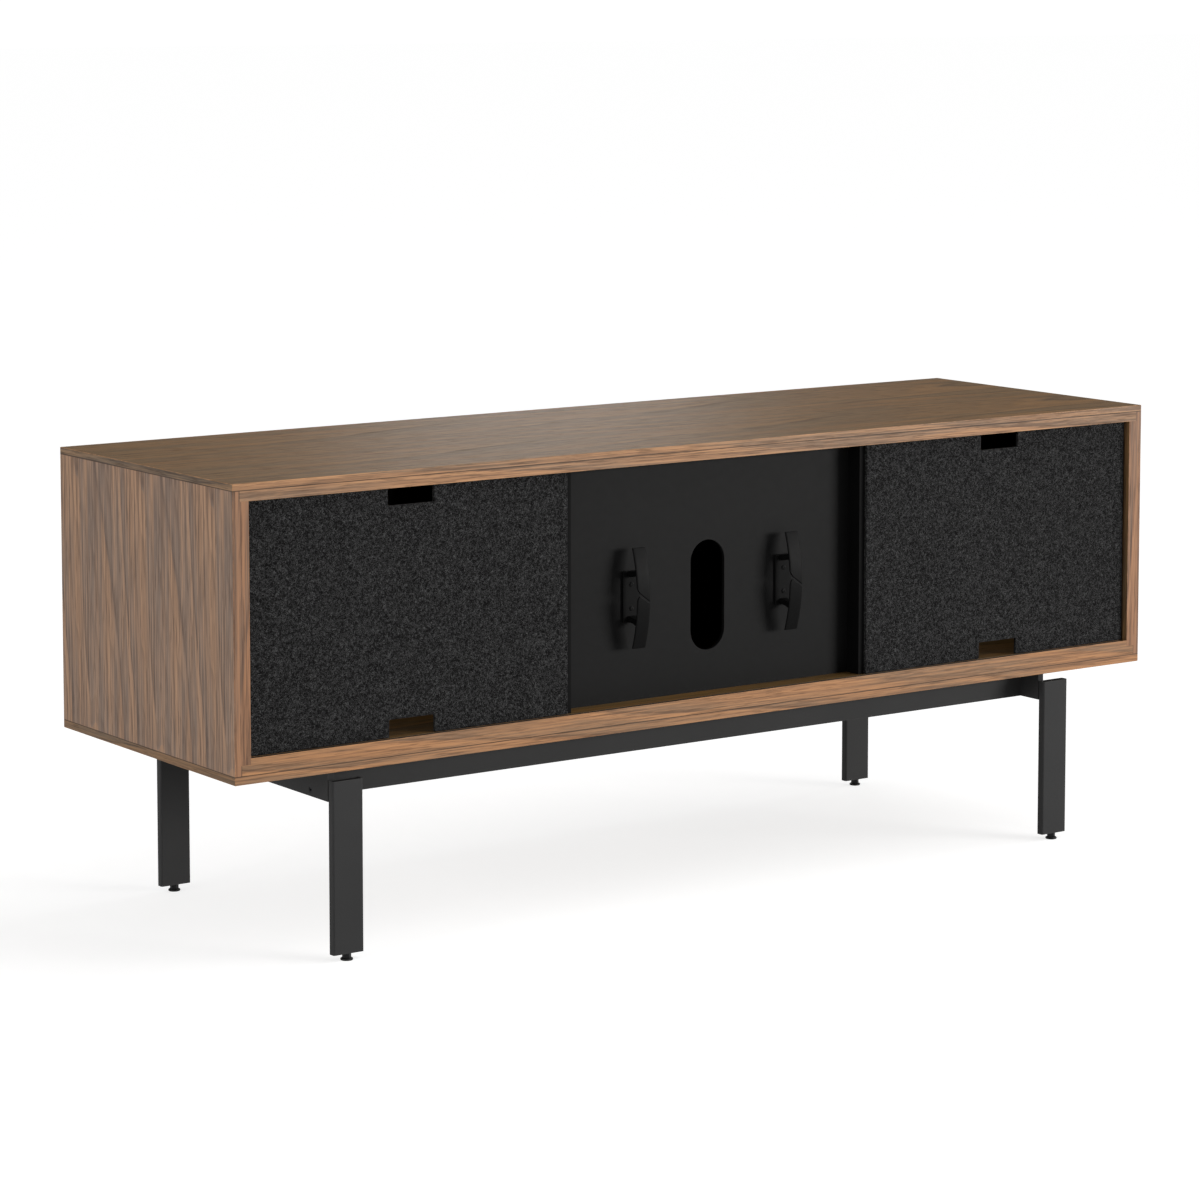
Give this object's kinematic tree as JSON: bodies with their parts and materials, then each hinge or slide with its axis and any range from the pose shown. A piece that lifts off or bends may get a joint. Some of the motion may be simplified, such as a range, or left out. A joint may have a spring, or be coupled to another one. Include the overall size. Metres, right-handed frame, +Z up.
{
  "type": "media cabinet",
  "caption": "Low walnut media cabinet on a black steel frame, with three doors, removable felt rear covers, a cable slot and cord cleats.",
  "frame": {"origin": "on the floor, under the middle of the cabinet's width and depth", "axes": "+X to the right seen from the cable side, +Y towards the doors, +Z up; the felt covers and cord cleats face -Y"},
  "size_m": [1.6764, 0.517, 0.6872],
  "materials": {
    "walnut_top": "oiled walnut veneer, satin",
    "walnut_case": "oiled walnut veneer, satin",
    "walnut_side": "oiled walnut veneer, vertical grain, satin",
    "walnut_shelf": "walnut veneer, satin",
    "walnut_door": "oiled walnut veneer, satin",
    "black_board": "black stained board, matt",
    "black_panel": "black lacquered board, satin",
    "charcoal_felt": "pressed charcoal felt with light and dark fibres",
    "moulded_black": "moulded black plastic, fine texture",
    "black_screw": "black oxide steel",
    "zinc_steel": "zinc plated steel",
    "dowel_wood": "beech dowel",
    "bush_nylon": "natural nylon",
    "black_metal_knob": "black powder coat",
    "black_powder_coat": "black powder coat, fine texture, satin",
    "black_metal_foot": "black zinc",
    "black_foot_pad": "black nylon glide"
  },
  "bodies": {
    "case": {"top_panel": "walnut_top", "bottom_panel": "walnut_case", "left_side": "walnut_side", "right_side": "walnut_side", "left_divider": "black_board", "right_divider": "black_board", "centre_back_panel": "black_panel", "left_cover_cleat": "black_board", "right_cover_cleat": "black_board", "cover_magnets": "zinc_steel", "left_cord_cleat": "moulded_black", "right_cord_cleat": "moulded_black", "cleat_screws": "black_screw", "left_shelf": "walnut_shelf", "right_shelf": "walnut_shelf", "shelf_pins": "zinc_steel", "divider_dowels": "dowel_wood", "door_pivot_pins": "zinc_steel", "magnetic_catches": "moulded_black", "left_crossbar": "black_powder_coat", "right_crossbar": "black_powder_coat", "rear_beam": "black_powder_coat", "front_beam": "black_powder_coat", "leg_caps": "moulded_black", "leg_inserts": "moulded_black", "frame_tabs": "black_powder_coat", "frame_bolts": "black_screw", "base_screws": "zinc_steel", "rear_left_leg": "black_powder_coat", "rear_right_leg": "black_powder_coat", "front_left_leg": "black_powder_coat", "front_right_leg": "black_powder_coat"},
    "left_door": {"left_door": "walnut_door", "left_door_bushes": "bush_nylon", "left_door_strike": "zinc_steel", "left_door_knob": "black_metal_knob"},
    "right_door": {"right_door": "walnut_door", "right_door_bushes": "bush_nylon", "right_door_strike": "zinc_steel", "right_door_knob": "black_metal_knob"},
    "centre_flap": {"centre_flap": "walnut_door", "centre_flap_bushes": "bush_nylon", "centre_flap_strike": "zinc_steel", "centre_flap_knob": "black_metal_knob"},
    "left_felt_cover": {"left_felt_cover": "charcoal_felt", "left_cover_discs": "zinc_steel"},
    "right_felt_cover": {"right_felt_cover": "charcoal_felt", "right_cover_discs": "zinc_steel"},
    "rear_left_foot": {"rear_left_foot_stud": "black_metal_foot", "rear_left_foot_pad": "black_foot_pad"},
    "rear_right_foot": {"rear_right_foot_stud": "black_metal_foot", "rear_right_foot_pad": "black_foot_pad"},
    "front_left_foot": {"front_left_foot_stud": "black_metal_foot", "front_left_foot_pad": "black_foot_pad"},
    "front_right_foot": {"front_right_foot_stud": "black_metal_foot", "front_right_foot_pad": "black_foot_pad"}
  },
  "joints": [
    {"name": "left_door_hinge", "type": "hinge", "parent": "case", "child": "left_door", "pos_m": [-0.7903, 0.2325, 0.306], "axis": [0, 0, 1], "range_deg": [0, 110]},
    {"name": "right_door_hinge", "type": "hinge", "parent": "case", "child": "right_door", "pos_m": [0.7903, 0.2325, 0.306], "axis": [0, 0, -1], "range_deg": [0, 110]},
    {"name": "centre_flap_hinge", "type": "hinge", "parent": "case", "child": "centre_flap", "pos_m": [0, 0.2325, 0.3285], "axis": [-1, 0, 0], "range_deg": [0, 90]},
    {"name": "left_felt_cover_pull", "type": "slide", "parent": "case", "child": "left_felt_cover", "axis": [0, -1, 0], "range_m": [0, 0.1]},
    {"name": "right_felt_cover_pull", "type": "slide", "parent": "case", "child": "right_felt_cover", "axis": [0, -1, 0], "range_m": [0, 0.1]},
    {"name": "rear_left_foot_height", "type": "slide", "parent": "case", "child": "rear_left_foot", "axis": [0, 0, -1], "range_m": [0, 0.012]},
    {"name": "rear_right_foot_height", "type": "slide", "parent": "case", "child": "rear_right_foot", "axis": [0, 0, -1], "range_m": [0, 0.012]},
    {"name": "front_left_foot_height", "type": "slide", "parent": "case", "child": "front_left_foot", "axis": [0, 0, -1], "range_m": [0, 0.012]},
    {"name": "front_right_foot_height", "type": "slide", "parent": "case", "child": "front_right_foot", "axis": [0, 0, -1], "range_m": [0, 0.012]}
  ]
}
